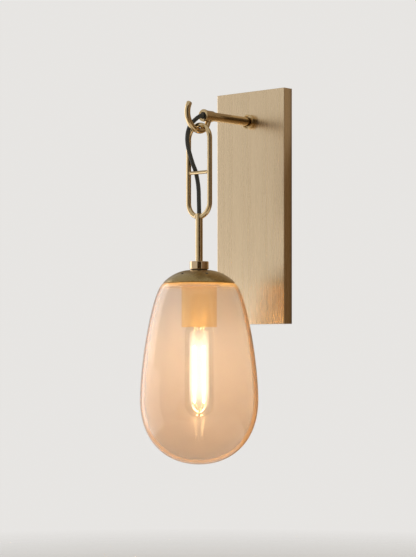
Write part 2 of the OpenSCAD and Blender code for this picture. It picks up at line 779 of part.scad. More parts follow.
// Outer line of the bulb's glass from its neck to its lowest point, along the lamp's axis
function bulb_line() = let (neck_z = bulb_cap_low, side_z = bulb_cap_low - bulb_neck_h) concat(
    [[bulb_neck_r, neck_z + bulb_neck_in]],
    curve([bulb_neck_r, neck_z], [bulb_neck_r, neck_z - bulb_neck_h / 2],
        [bulb_r, side_z + bulb_neck_h / 2], [bulb_r, side_z], bulb_steps),
    [for (i = [0 : bulb_steps]) let (a = 90 * i / bulb_steps)
        [bulb_r * cos(a), bulb_low + bulb_r * (1 - sin(a))]]);

module bulb_envelope() {
    line = bulb_line();
    inner = [for (p = inwards(line, bulb_wall)) if (p[0] > bulb_wall) p];
    color("lightyellow") at_lamp(0) rotate_extrude() polygon(concat(line,
        [[0, bulb_low + bulb_wall]], reversed(inner)));
}

module bulb_cap() {
    r = bulb_cap_d / 2;
    color("silver") at_lamp(0) rotate_extrude() polygon([
        [r, bulb_cap_low], [r, bulb_cap_top - chamfer], [r - chamfer, bulb_cap_top],
        [insulator_d[1] / 2 - bulb_cap_wall, bulb_cap_top],
        [insulator_d[1] / 2 - bulb_cap_wall, bulb_cap_top - bulb_cap_wall],
        [r - bulb_cap_wall, bulb_cap_top - bulb_cap_wall], [r - bulb_cap_wall, bulb_cap_low]
    ]);
}

module bulb_insulator() {
    color("black") at_lamp(bulb_cap_top) cylinder(d1 = insulator_d[1], d2 = insulator_d[0], h = insulator_h);
}

module bulb_tip() {
    color("silver") at_lamp(insulator_top) cylinder(d = bulb_tip_d, h = bulb_tip_h);
}

module mount_rod() {
    low = rim_z - filament_top - filament_len - wire_drop;
    at_lamp(low) cylinder(r = mount_rod_r, h = bulb_cap_low - mount_len - low, $fn = small_fn);
}

module filament_stem() {
    color("azure") {
        at_lamp(bulb_cap_low - mount_len) cylinder(r = mount_r, h = mount_len + bulb_neck_in);
        at_lamp(bulb_cap_low + bulb_neck_in) cylinder(r = bulb_neck_r, h = mount_flare_t);
        mount_rod();
    }
}

function filament_place(i) = [filament_ring_d / 2 * cos(360 * i / filament_count),
    lamp_y + filament_ring_d / 2 * sin(360 * i / filament_count), rim_z - filament_top];

module filaments() {
    color("yellow") for (i = [0 : filament_count - 1])
        translate(filament_place(i) - [0, 0, filament_len])
            cylinder(d = filament_d, h = filament_len, $fn = small_fn);
}

// Thin wires from the filaments' ends to the glass rod in their middle
module filament_wires() {
    color("silver") difference() {
        for (i = [0 : filament_count - 1]) {
            top = filament_place(i);
            low = top - [0, 0, filament_len];
            rod(top - [0, 0, wire_d], [0, lamp_y, top[2] + wire_rise], wire_d);
            rod(low + [0, 0, wire_d], [0, lamp_y, low[2] - wire_drop + wire_d], wire_d);
        }
        filaments();
        mount_rod();
    }
}

wall_bracket();
backplate();
backplate_screws();
ground_screw();
ground_lead();
terminal_block();
block_screw();
terminal_screws();
arm_tube();
arm_rose();
arm_lock_washer();
arm_locknut();
arm_ferrule();
hook();
mouth_bushing();
arm_cord();
supply_leads();
pendant_cord();
link();
link_crossbar();
stem();
stem_collar();
collar_washer();
cap();
nipple();
cap_spacer();
gallery();
neck_gasket();
socket_cup();
cup_lock_washer();
cup_locknut();
lampholder_body();
lampholder_shell();
lampholder_contact();
lampholder_terminals();
stem_cord();
socket_leads();
glass_shade();
bulb_envelope();
bulb_cap();
bulb_insulator();
bulb_tip();
filament_stem();
filaments();
filament_wires();
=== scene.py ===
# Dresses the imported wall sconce: brushed and satin brass, frosted glass, a lit tube bulb and a braided cord.
# Shapes are worked out in millimetres in the row's frame and written to the meshes in metres.
import math

import bmesh
import bpy
import numpy as np
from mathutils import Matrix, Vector


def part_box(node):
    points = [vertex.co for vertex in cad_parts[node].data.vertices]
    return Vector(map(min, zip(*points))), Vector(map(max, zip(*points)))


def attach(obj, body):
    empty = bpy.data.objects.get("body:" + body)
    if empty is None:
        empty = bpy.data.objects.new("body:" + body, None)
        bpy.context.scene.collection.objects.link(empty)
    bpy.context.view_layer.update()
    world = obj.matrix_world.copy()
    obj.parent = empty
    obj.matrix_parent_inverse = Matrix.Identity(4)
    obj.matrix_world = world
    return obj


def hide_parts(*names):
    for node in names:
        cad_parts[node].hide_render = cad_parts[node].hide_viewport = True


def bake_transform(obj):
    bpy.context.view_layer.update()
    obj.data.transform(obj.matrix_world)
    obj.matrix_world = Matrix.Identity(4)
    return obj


mm = 0.001
lampAxis = (0.0, -100.0)  # where the pendant hangs, X and Y
armHeight = 97.4
nippleHole = 5.1  # radius of the holes that the nipple goes through
play = 0.06  # between a piece and the one that it goes round

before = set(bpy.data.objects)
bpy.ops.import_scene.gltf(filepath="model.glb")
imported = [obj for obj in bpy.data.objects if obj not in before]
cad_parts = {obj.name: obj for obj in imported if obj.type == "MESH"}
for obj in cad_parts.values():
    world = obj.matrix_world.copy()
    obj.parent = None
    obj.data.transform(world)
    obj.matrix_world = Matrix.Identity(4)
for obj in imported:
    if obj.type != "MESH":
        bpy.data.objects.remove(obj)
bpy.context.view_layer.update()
print("frame loaded:", len(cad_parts), "nodes")


# Camera and studio

camera = {"place": (1.334, -1.567, -0.1638), "turn": 42, "lens": 116.5, "sensor": 36, "shiftUp": 0.1323,
          "nearest": 0.05, "farthest": 50}

eye = bpy.data.cameras.new("camera")
eye.lens, eye.sensor_width, eye.sensor_fit = camera["lens"], camera["sensor"], "AUTO"
eye.shift_y = camera["shiftUp"]
eye.clip_start, eye.clip_end = camera["nearest"], camera["farthest"]
eyeObject = bpy.data.objects.new("camera", eye)
eyeObject.location = camera["place"]
eyeObject.rotation_euler = (math.radians(90), 0, math.radians(camera["turn"]))
bpy.context.scene.collection.objects.link(eyeObject)
bpy.context.scene.camera = eyeObject
bpy.context.scene.view_settings.view_transform = "Standard"


# Shader maths

class Value:
    # wraps a socket, so that an expression on it adds Math nodes
    def __init__(self, look, socket):
        self.look, self.socket = look, socket

    def maths(self, operation, first, second):
        return self.look.add("ShaderNodeMath", {"operation": operation}, {0: first, 1: second})

    def __add__(self, other):
        return self.maths("ADD", self, other)

    def __sub__(self, other):
        return self.maths("SUBTRACT", self, other)

    def __rsub__(self, other):
        return self.maths("SUBTRACT", other, self)

    def __mul__(self, other):
        return self.maths("MULTIPLY", self, other)

    def over(self, other):
        return self.maths("MAXIMUM", self, other)


class Look:
    # a node tree of a material or of the world
    def __init__(self, name, world=False):
        self.owner = bpy.data.worlds.new(name) if world else bpy.data.materials.new(name)
        self.owner.use_nodes = True
        self.tree = self.owner.node_tree
        self.tree.nodes.clear()
        self.output = "ShaderNodeOutputWorld" if world else "ShaderNodeOutputMaterial"

    def add(self, kind, settings=None, values=None, out=0):
        node = self.tree.nodes.new(kind)
        for key, value in (settings or {}).items():
            if key == "stops":
                ramp = node.color_ramp.elements
                for i, (place, colour) in enumerate(value):
                    stop = ramp[i] if i < 2 else ramp.new(place)
                    stop.position, stop.color = place, (*colour, 1)
            else:
                setattr(node, key, value)
        for key, value in (values or {}).items():
            if isinstance(value, Value):
                self.tree.links.new(value.socket, node.inputs[key])
            else:
                node.inputs[key].default_value = value
        return Value(self, node.outputs[out])

    def place(self, scale=(1, 1, 1)):
        spot = self.add("ShaderNodeTexCoord", out="Object")
        return self.add("ShaderNodeMapping", {}, {"Vector": spot, "Scale": scale})

    def noise(self, vector, scale, detail=3, roughness=0.5):
        return self.add("ShaderNodeTexNoise", {}, {"Vector": vector, "Scale": scale, "Detail": detail,
                                                   "Roughness": roughness}, "Fac")

    def ramp(self, value, stops):
        return self.add("ShaderNodeValToRGB", {"stops": stops}, {"Fac": value}, "Color")

    def spread(self, value, low, high, toLow=0.0, toHigh=1.0):
        return self.add("ShaderNodeMapRange", {"clamp": True}, {
            "Value": value, "From Min": low, "From Max": high, "To Min": toLow, "To Max": toHigh})

    def blend(self, share, first, second):
        # first and second are colours or values of colours
        return self.add("ShaderNodeMix", {"data_type": "RGBA"}, {0: share, 6: first, 7: second}, 2)

    def maths(self, operation, value):
        return self.add("ShaderNodeMath", {"operation": operation}, {0: value})

    def bump(self, height, strength, distance):
        return self.add("ShaderNodeBump", {}, {"Height": height, "Strength": strength, "Distance": distance})

    def principled(self, **values):
        names = {"base": "Base Color", "metallic": "Metallic", "roughness": "Roughness", "normal": "Normal",
                 "specular": "Specular IOR Level", "sheen": "Sheen Weight", "glow": "Emission Color",
                 "glowStrength": "Emission Strength"}
        return self.add("ShaderNodeBsdfPrincipled", {}, {names[k]: v for k, v in values.items()})

    def mixed(self, share, first, second):
        return self.add("ShaderNodeMixShader", {}, {0: share, 1: first, 2: second})

    def done(self, surface):
        self.tree.links.new(surface.socket, self.tree.nodes.new(self.output).inputs["Surface"])
        return self.owner


def grey(level):
    return (level, level, level, 1)


# Studio: pale all round, with cards that only reflections show

studio = {"background": (0.80, 0.785, 0.765, 1), "ambient": 0.62, "ambientColour": (1, 0.985, 0.965, 1),
          "reflected": 0.62, "reflectedColour": (1, 0.97, 0.93, 1), "floorHeight": -0.47,
          "floorColour": (0.74, 0.725, 0.705, 1), "floorFade": (0.55, 1.15), "floorRings": (0.0, 0.9, 2.0, 3.2)}


def makeWorld():
    look = Look("studioWorld", world=True)
    seen = look.add("ShaderNodeLightPath", out="Is Camera Ray")
    outputs = seen.socket.node.outputs
    seen = seen.over(Value(look, outputs["Is Transmission Ray"]))
    ambient = look.add("ShaderNodeBackground", {}, {"Color": studio["ambientColour"],
                                                    "Strength": studio["ambient"]})
    mirrored = look.add("ShaderNodeBackground", {}, {"Color": studio["reflectedColour"],
                                                     "Strength": studio["reflected"]})
    shown = look.add("ShaderNodeBackground", {}, {"Color": studio["background"], "Strength": 1.0})
    rest = look.mixed(Value(look, outputs["Is Glossy Ray"]), ambient, mirrored)
    bpy.context.scene.world = look.done(look.mixed(seen, rest, shown))


def makeFloor():
    look = Look("floorPaper")
    away = look.add("ShaderNodeVectorMath", {"operation": "LENGTH"}, {0: look.place()}, "Value")
    # clear at a distance and from below
    fade = look.spread(away, *studio["floorFade"]).over(look.add("ShaderNodeNewGeometry", out="Backfacing"))
    paper = look.principled(base=studio["floorColour"], roughness=0.9, specular=0.1)
    clear = look.add("ShaderNodeBsdfTransparent")
    material = look.done(look.mixed(fade, paper, clear))
    angle = np.linspace(0, 2 * np.pi, 65)[:-1]
    rings = np.array(studio["floorRings"])[:, None]
    points = np.stack([rings * np.cos(angle), rings * np.sin(angle), 0 * rings * angle], -1) / mm
    floor = gridMesh("floor", points, closeRound=True)
    floor.location = (0, -0.1, studio["floorHeight"])
    floor.data.materials.append(material)


def lamp(name, place, target, size, power, colour=(1, 1, 1), mirrored=True, scattered=True):
    # mirrored says whether glossy surfaces show the lamp, scattered whether matt ones do
    light = bpy.data.lights.new(name, "AREA")
    light.shape, light.size, light.size_y = "RECTANGLE", *size
    light.energy, light.color = power, colour
    holder = bpy.data.objects.new(name, light)
    holder.location = place
    aim(holder, place, target)
    holder.visible_glossy, holder.visible_diffuse = mirrored, scattered
    bpy.context.scene.collection.objects.link(holder)


def aim(holder, place, target):
    holder.rotation_mode = "QUATERNION"
    holder.rotation_quaternion = (Vector(target) - Vector(place)).to_track_quat("-Z", "Y")


def flag(name, place, target, size, shade):
    # a card beside the set, dark or bright, which only reflections show
    look = Look(name + "Card")
    material = look.done(look.add("ShaderNodeEmission", {}, {"Color": shade, "Strength": 1.0}))
    half = np.array(size) / 2
    x, y = np.meshgrid([-half[0], half[0]], [-half[1], half[1]], indexing="ij")
    card = gridMesh(name, np.stack([x, y, 0 * x], -1) / mm)
    card.location = place
    aim(card, place, target)
    card.data.materials.append(material)
    card.visible_camera = card.visible_diffuse = card.visible_shadow = False
    card.visible_transmission = False


# Mesh making

def gridMesh(name, points, closeRound=False, closeAlong=False, sharp=35, uv=None):
    # points is rows by columns by XYZ, in mm: a quad joins each four neighbours, doubles merge into poles
    rows, columns = points.shape[:2]
    index = np.arange(rows * columns).reshape(rows, columns)
    if closeAlong:
        index = np.concatenate([index, index[:1]])
    if closeRound:
        index = np.concatenate([index, index[:, :1]], 1)
    quads = np.stack([index[:-1, :-1], index[1:, :-1], index[1:, 1:], index[:-1, 1:]], -1).reshape(-1, 4)
    mesh = bpy.data.meshes.new(name)
    mesh.from_pydata((points.reshape(-1, 3) * mm).tolist(), [], quads.tolist())
    if uv is not None:
        mesh.uv_layers.new(name="surface")
        u, v = uv  # along the rows and round the columns, one more than the open grid has
        corner = np.stack(np.meshgrid(u, v, indexing="ij"), -1)
        loops = np.stack([corner[:-1, :-1], corner[1:, :-1], corner[1:, 1:], corner[:-1, 1:]], 2)
        mesh.uv_layers[0].data.foreach_set("uv", loops.reshape(-1).astype(np.float32))
    work = bmesh.new()
    work.from_mesh(mesh)
    bmesh.ops.remove_doubles(work, verts=work.verts, dist=2e-7)
    bmesh.ops.recalc_face_normals(work, faces=work.faces)
    work.to_mesh(mesh)
    work.free()
    mesh.shade_smooth()
    mesh.set_sharp_from_angle(angle=math.radians(sharp))
    piece = bpy.data.objects.new(name, mesh)
    bpy.context.scene.collection.objects.link(piece)
    return piece


def rounded(corners, radius, steps=4):
    # each corner of a closed line gives way to a quadratic curve that starts and ends a setback away from it
    point = np.array(corners, float)
    before, after = np.roll(point, 1, 0) - point, np.roll(point, -1, 0) - point
    longBefore, longAfter = np.linalg.norm(before, axis=1), np.linalg.norm(after, axis=1)
    setback = np.minimum(np.broadcast_to(radius, len(point)), 0.48 * np.minimum(longBefore, longAfter))
    first = point + before * (setback / longBefore)[:, None]
    last = point + after * (setback / longAfter)[:, None]
    t = np.linspace(0, 1, steps + 1)[None, :, None]
    curve = (1 - t) ** 2 * first[:, None] + 2 * t * (1 - t) * point[:, None] + t ** 2 * last[:, None]
    return curve.reshape(-1, 2)


def turned(name, profile, axis="lamp", around=96, sharp=35, ripple=None):
    # a closed profile (radius, place along it) turned about the lamp's upright axis or the arm's level one
    profile = np.array(profile, float)
    angle = np.linspace(0, 2 * np.pi, around + 1)[:-1]
    radius = profile[:, :1] * np.ones(around)
    along = profile[:, 1:] * np.ones(around)
    if ripple is not None:
        radius = ripple(radius, along, angle)
    c, s = radius * np.cos(angle), radius * np.sin(angle)
    if axis == "lamp":
        points = np.stack([c + lampAxis[0], s + lampAxis[1], along], -1)
    else:
        points = np.stack([c + lampAxis[0], along, s + armHeight], -1)
    return gridMesh(name, points, closeRound=True, closeAlong=True, sharp=sharp)


def carried(name, path, radius, hint, around=32, sharp=35, uv=None, relief=None):
    # a circle of the given radius carried along the path, square to it, with flat ends that meet in poles
    path = np.array(path, float)
    radius = np.broadcast_to(radius, len(path)).astype(float)
    ahead = np.gradient(path, axis=0)
    ahead /= np.linalg.norm(ahead, axis=1, keepdims=True)
    side = np.cross(ahead, hint)
    side /= np.linalg.norm(side, axis=1, keepdims=True)
    up = np.cross(side, ahead)
    angle = np.linspace(0, 2 * np.pi, around + 1)[:-1]
    out = np.cos(angle)[None, :, None] * side[:, None] + np.sin(angle)[None, :, None] * up[:, None]
    reach = radius[:, None] * np.ones(around)
    if relief is not None:
        reach = reach + relief(path, angle)
    points = path[:, None] + reach[:, :, None] * out
    points = np.concatenate([path[:1, None] + 0 * out[:1], points, path[-1:, None] + 0 * out[-1:]])
    return gridMesh(name, points, closeRound=True, sharp=sharp, uv=uv)


def fit(piece, material, body, node):
    # gives a new piece its finish, and puts it on its body in place of the CAD node that it stands for
    piece.data.materials.append(material)
    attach(piece, body)
    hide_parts(node)


def span(node):
    low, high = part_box(node)
    return np.array(low) / mm, np.array(high) / mm


def arc(centre, radius, start, end, steps):
    # points of a circle in a plane, from start to end in degrees
    angle = np.radians(np.linspace(start, end, steps))
    return np.stack([centre[0] + radius * np.cos(angle), centre[1] + radius * np.sin(angle)], -1)


def bezier(a, b, c, d, steps):
    t = np.linspace(0, 1, steps + 1)[:, None]
    a, b, c, d = (np.array(p, float) for p in (a, b, c, d))
    return (1 - t) ** 3 * a + 3 * t * (1 - t) ** 2 * b + 3 * t * t * (1 - t) * c + t ** 3 * d


def inwards(line, wall):
    # a profile that runs outwards and down, moved inwards by its wall
    ahead = np.gradient(line, axis=0)
    ahead /= np.linalg.norm(ahead, axis=1, keepdims=True)
    return line + wall * np.stack([ahead[:, 1], -ahead[:, 0]], -1)


# Finishes

def brushedPlate():
    # fine upright grain in a light aged brass: the bump spreads reflections sideways
    look = Look("brushedPlate")
    broad = look.noise(look.place((170, 170, 3.5)), 1, 3)
    fine = look.noise(look.place((1300, 1300, 14)), 1, 3, 0.6)
    cloud = look.noise(look.place((9, 9, 6)), 1, 2)
    tone = fine * 0.62 + broad * 0.38
    base = look.ramp(tone, [(0.30, (0.735, 0.580, 0.385)), (0.50, (0.775, 0.615, 0.412)),
                            (0.70, (0.815, 0.650, 0.438))])
    base = look.blend(look.spread(cloud, 0.35, 0.7, 0, 0.3), base, (0.79, 0.605, 0.39, 1))
    return look.done(look.principled(base=base, metallic=1.0, roughness=look.spread(tone, 0.3, 0.7, 0.25, 0.30),
                                     normal=look.bump(fine, 0.22, 0.0002)))


def satinBrass(name, deep, light, roughness, cloudScale=60):
    look = Look(name)
    cloud = look.noise(look.place(), cloudScale, 3)
    scratch = look.noise(look.place(), 900, 3)
    tone = cloud * 0.7 + scratch * 0.3
    base = look.ramp(tone, [(0.3, deep), (0.7, light)])
    return look.done(look.principled(base=base, metallic=1.0, roughness=look.spread(tone, 0.3, 0.7, *roughness),
                                     normal=look.bump(scratch, 0.04, 0.0001)))


def paintedSteel(name, colour, roughness, metallic=1.0, speckle=0.08, scale=400):
    look = Look(name)
    cloud = look.noise(look.place(), scale, 4)
    low = tuple(c * (1 - speckle * 2) for c in colour)
    base = look.ramp(cloud, [(0.3, low), (0.7, colour)])
    rough = look.spread(cloud, 0.3, 0.7, roughness * 0.85, roughness * 1.15)
    return look.done(look.principled(base=base, metallic=metallic, roughness=rough,
                                     normal=look.bump(cloud, 0.08, 0.0001)))


# heights and colours, in metres, of the shade's mist, painted warmer and darker towards the foot and paler at
# the top for how light falls on it, and of the painted glow that stands in for lamp light at its foot and under
# the cap's rim
frost = {"foot": -0.285, "top": -0.115, "footMistPaintedWarm": (0.66, 0.56, 0.46, 1), "topMistPaintedPale": (0.82, 0.80, 0.79, 1),
         "neck": (-0.0940, -0.0890), "footReach": (-0.205, -0.265), "paintedFootGlow": (0.30, 0.135, 0.03, 1),
         "rimReach": (-0.0955, -0.0885), "paintedRimGlow": (0.70, 0.32, 0.02, 1), "roughness": 0.24, "edgeShare": 0.7,
         "clearTint": (0.99, 0.975, 0.955, 1), "index": 1.46, "polish": 0.10}


def frostedGlass(name, front, back, ring, ringTintAndPaintedRefraction, shine, paintedShadeGlowStrength):
    # one skin of the shade. front is its mist's share where its face is turned to the viewer, back where it
    # is seen from behind. ring is the facing at which it is seen edge on, where it closes up in the ring's
    # tint, as it also does at the neck; that tint is partly the glass seen through its thickness and partly
    # painted refraction of warm surroundings, and at the neck painted lamp light under the cap. shine is the
    # share of its polish, and the last argument the strength of a painted glow, standing in for lamp light, at
    # the foot's edge and under the cap's rim.
    look = Look(name)
    height = look.add("ShaderNodeSeparateXYZ", {}, {0: look.place()}, "Z")
    low = look.spread(height, frost["foot"], frost["top"])
    cloud = look.noise(look.place(), 60, 3)
    # painted light: the mist is warmer and darker towards the foot and paler at the top, standing in for how
    # the lamp's glow and the outside light fall on it
    mist = look.blend(low, frost["footMistPaintedWarm"], frost["topMistPaintedPale"])
    facing = look.add("ShaderNodeLayerWeight", {}, {"Blend": 0.5}, "Facing")
    edge = look.spread(facing, *ring).over(look.spread(height, *frost["neck"]))
    # the edge and neck tint: partly the thick glass seen edge on, partly painted refraction of warm
    # surroundings and painted lamp light under the cap
    tint = look.blend(edge, mist, ringTintAndPaintedRefraction)
    # painted glow: emission that stands in for lamp light caught at the foot's edge and under the cap's rim
    paintedShadeGlow = look.blend(edge * look.spread(height, *frost["footReach"]), grey(0.0), frost["paintedFootGlow"])
    paintedShadeGlow = look.blend(look.spread(height, *frost["rimReach"]), paintedShadeGlow, frost["paintedRimGlow"])
    body = look.principled(base=tint, roughness=frost["roughness"], specular=0.5,
                           normal=look.bump(cloud, 0.02, 0.0005), glow=paintedShadeGlow, glowStrength=paintedShadeGlowStrength)
    through = look.add("ShaderNodeBsdfTranslucent", {}, {"Color": tint})
    veil = look.mixed(0.5, body, through)
    clear = look.add("ShaderNodeBsdfTransparent", {}, {"Color": frost["clearTint"]})
    behind = look.add("ShaderNodeNewGeometry", out="Backfacing")
    share = look.spread(behind, 0.0, 1.0, front, back)
    share = share + (1.0 - share) * edge * frost["edgeShare"]
    share = share * look.spread(cloud, 0.2, 0.8, 0.97, 1.03)
    rim = look.add("ShaderNodeFresnel", {}, {"IOR": frost["index"]})
    gloss = look.add("ShaderNodeBsdfGlossy", {}, {"Color": grey(1.0), "Roughness": frost["polish"]})
    return look.done(look.mixed(rim * (1.0 - behind) * shine, look.mixed(share, clear, veil), gloss))


# heights between which the bulb's glass carries a painted glow, standing in for the bloom round the lit
# filaments, in metres
paintedBulbGlow = {"low": (-0.226, -0.205), "high": (-0.138, -0.160), "square": (0.30, 0.06),
             "colour": (1.0, 0.89, 0.70, 1), "strength": 3.0}


def clearGlass(name, tint, edge, glow=0.0):
    # edge is the share of reflection where the glass is seen edge on, glow the strength of a painted glow that
    # stands in for light scattered round the lit filaments
    look = Look(name)
    rim = look.add("ShaderNodeLayerWeight", {}, {"Blend": 0.5}, "Fresnel")
    wave = look.noise(look.place(), 30, 2)
    shine = look.add("ShaderNodeBsdfGlossy", {}, {"Color": grey(0.95), "Roughness": 0.05,
                                                  "Normal": look.bump(wave, 0.02, 0.001)})
    clear = look.add("ShaderNodeBsdfTransparent", {}, {"Color": tint})
    surface = look.mixed(look.spread(rim, 0.05, 1.0, 0.015, edge), clear, shine)
    if glow:
        # painted glow, most where the glass is looked at squarely, beside the filaments
        height = look.add("ShaderNodeSeparateXYZ", {}, {0: look.place()}, "Z")
        lit = look.spread(height, *paintedBulbGlow["low"]) * look.spread(height, *paintedBulbGlow["high"])
        facing = look.add("ShaderNodeLayerWeight", {}, {"Blend": 0.5}, "Facing")
        square = look.spread(facing, *paintedBulbGlow["square"])
        shown = look.add("ShaderNodeEmission", {}, {"Color": paintedBulbGlow["colour"],
                                                    "Strength": paintedBulbGlow["strength"]})
        surface = look.mixed(lit * square * glow, surface, shown)
    return look.done(surface)


def litFilament():
    look = Look("litFilament")
    phosphor = look.noise(look.place(), 1500, 2)
    glow = look.ramp(phosphor, [(0.3, (1.0, 0.58, 0.25)), (0.7, (1.0, 0.66, 0.31))])
    return look.done(look.principled(base=(0.95, 0.7, 0.3, 1), roughness=0.6, glow=glow, glowStrength=22.0))


def braidedCord():
    # the relief's two crossing families of strands, read from the UVs: u counts pitches, v counts turns
    look = Look("braidedCord")
    spot = look.add("ShaderNodeTexCoord", out="UV")
    along = look.add("ShaderNodeSeparateXYZ", {}, {0: spot}, "X")
    round_ = look.add("ShaderNodeSeparateXYZ", {}, {0: spot}, "Y")
    n = 2 * math.pi * cord["strands"]
    right = look.maths("COSINE", (round_ + along) * n)
    left = look.maths("COSINE", (round_ - along) * n)
    over = look.maths("COSINE", (round_ + along) * (n / 2)) * look.maths("COSINE", (round_ - along) * (n / 2))
    strand = look.spread(look.blend(look.spread(over, -0.05, 0.05), left, right), -1.0, 1.0)
    fuzz = look.noise(look.place(), 2500, 2)
    # the base colour follows the strands, darker in the grooves between them: painted shade, with the fuzz as
    # the fibres' own tone
    base = look.ramp(strand * 0.8 + fuzz * 0.2, [(0.2, (0.005, 0.005, 0.005)), (0.8, (0.042, 0.043, 0.037))])
    return look.done(look.principled(base=base, roughness=0.7, sheen=0.2, specular=0.3,
                                     normal=look.bump(strand * 0.7 + fuzz * 0.3, 0.4, 0.0002)))


plateBrass = brushedPlate()
rodBrass = satinBrass("satinBrass", (0.60, 0.45, 0.245), (0.70, 0.54, 0.31), (0.11, 0.17))
collarBrass = satinBrass("collarBrass", (0.66, 0.49, 0.30), (0.75, 0.57, 0.36), (0.12, 0.18))
agedBrass = satinBrass("agedBrass", (0.28, 0.195, 0.076), (0.40, 0.295, 0.13), (0.22, 0.32), 45)
cupBrass = satinBrass("cupBrass", (0.96, 0.65, 0.22), (0.98, 0.71, 0.27), (0.16, 0.22))
contactBrass = satinBrass("contactBrass", (0.58, 0.43, 0.17), (0.80, 0.62, 0.30), (0.2, 0.32), 300)
zincSteel = paintedSteel("zincSteel", (0.60, 0.61, 0.62), 0.36, metallic=0.65)
darkSteelAndPaintedShade = paintedSteel("darkSteelAndPaintedShade", (0.09, 0.085, 0.08), 0.42, metallic=0.5)
bulbMetal = paintedSteel("bulbMetal", (0.72, 0.70, 0.66), 0.28)
groundGreen = paintedSteel("groundGreen", (0.05, 0.27, 0.10), 0.35, metallic=0.3)
greenSleeve = paintedSteel("greenSleeve", (0.06, 0.30, 0.11), 0.45, metallic=0.0)
darkSleeve = paintedSteel("darkSleeve", (0.05, 0.05, 0.05), 0.45, metallic=0.0)
ivoryNylon = paintedSteel("ivoryNylon", (0.78, 0.74, 0.62), 0.42, metallic=0.0, speckle=0.03)
blackRubber = paintedSteel("blackRubber", (0.022, 0.022, 0.022), 0.6, metallic=0.0)
whiteRubber = paintedSteel("whiteRubber", (0.80, 0.80, 0.77), 0.55, metallic=0.0, speckle=0.03)
porcelain = paintedSteel("porcelain", (0.86, 0.83, 0.76), 0.2, metallic=0.0, speckle=0.03, scale=120)
blackGlass = paintedSteel("blackGlass", (0.02, 0.02, 0.025), 0.12, metallic=0.0)
# the outer skin's orange-brown ring tint is partly painted refraction, and 1.8 is the strength of its painted
# glow
outerGlass = frostedGlass("outerGlass", 0.15, 0.6, (0.56, 0.66), (0.60, 0.37, 0.21, 1), 1.0, 1.8)
innerGlass = frostedGlass("innerGlass", 0.82, 0.10, (0.82, 0.97), (0.97, 0.90, 0.84, 1), 0.9, 0.0)
bulbGlass = clearGlass("bulbGlass", (0.998, 0.992, 0.98, 1), 0.55, glow=0.3)
mountGlass = clearGlass("mountGlass", (0.99, 0.98, 0.96, 1), 0.25)
filamentGlow = litFilament()
cordInside = paintedSteel("cordInside", (0.02, 0.02, 0.018), 0.75, metallic=0.0, speckle=0.2, scale=1500)
print("finishes made")


# Cord

cord = {"diameter": 4.8, "sides": 64, "stepLength": 0.3, "strands": 6, "pitch": 13.0, "relief": 0.26,
        "bendFrom": 0.094, "bendTo": 0.064}

cordRoute = np.array([
    [0, -93.8, 97.4], [-0.2, -95.8, 97], [-0.6, -97.8, 96.2], [-1.2, -99.8, 95],
    [-2, -101.7, 93.5], [-3.1, -103.6, 91.6], [-4.3, -105.5, 89.3], [-5.6, -107.2, 86.5],
    [-6.8, -108.6, 83.2], [-7.8, -109.5, 79], [-8.4, -109.9, 74.5], [-8.8, -109.7, 69.5],
    [-9, -108.6, 63.5], [-9, -106.4, 57], [-9, -103.4, 50], [-9.1, -99.8, 43],
    [-9.3, -96.2, 37.5], [-9.2, -94.3, 32], [-8.2, -93.7, 26], [-6.4, -94.4, 19.5],
    [-4.4, -95.9, 13], [-2.6, -97.7, 6.5], [-1.1, -99.1, 0], [-0.2, -99.9, -6], [0, -100, -11.4]])


def smoothRoute(route, step):
    # a Catmull-Rom line through the points, read at even distances
    ends = np.concatenate([[2 * route[0] - route[1]], route, [2 * route[-1] - route[-2]]])
    t = np.linspace(0, 1, 24)[:, None]
    p0, p1, p2, p3 = (ends[i:len(ends) - 3 + i][:, None] for i in range(4))
    line = 0.5 * (2 * p1 + (p2 - p0) * t + (2 * p0 - 5 * p1 + 4 * p2 - p3) * t ** 2
                  + (3 * p1 - p0 - 3 * p2 + p3) * t ** 3)
    line = line.reshape(-1, 3)
    keep = np.concatenate([[True], np.linalg.norm(np.diff(line, axis=0), axis=1) > 1e-6])
    line = line[keep]
    reached = np.concatenate([[0], np.cumsum(np.linalg.norm(np.diff(line, axis=0), axis=1))])
    even = np.linspace(0, reached[-1], int(reached[-1] / step) + 1)
    return np.stack([np.interp(even, reached, line[:, k]) for k in range(3)], -1), reached[-1]


def braidRelief(path, angle):
    # two families of crossing helices, of which one or the other lies on top in turn
    run = np.concatenate([[0], np.cumsum(np.linalg.norm(np.diff(path, axis=0), axis=1))])[:, None]
    turn = 2 * np.pi * run / cord["pitch"]
    right = np.cos(cord["strands"] * (angle + turn))
    left = np.cos(cord["strands"] * (angle - turn))
    over = np.cos(cord["strands"] / 2 * (angle + turn)) * np.cos(cord["strands"] / 2 * (angle - turn)) > 0
    return cord["relief"] * (np.where(over, right, left) - 1) / 2


route, cordLength = smoothRoute(cordRoute, cord["stepLength"])
rows = len(route) + 2
cordPiece = carried("pendantCord", route, cord["diameter"] / 2, (1, 0, 0), cord["sides"], sharp=60,
                    uv=(np.linspace(0, cordLength / cord["pitch"], rows), np.linspace(0, 1, cord["sides"] + 1)),
                    relief=braidRelief)
cordPiece.data.materials.append(braidedCord())
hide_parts("pendant_cord")
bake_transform(cordPiece)
print("cord made, mm:", round(cordLength, 1))


# Backplate

plate = {"wall": 1.5, "edge": 0.55, "corner": 0.5, "leastCorner": 0.02, "chamfer": 0.25, "fold": 0.4,
         "sides": 6}


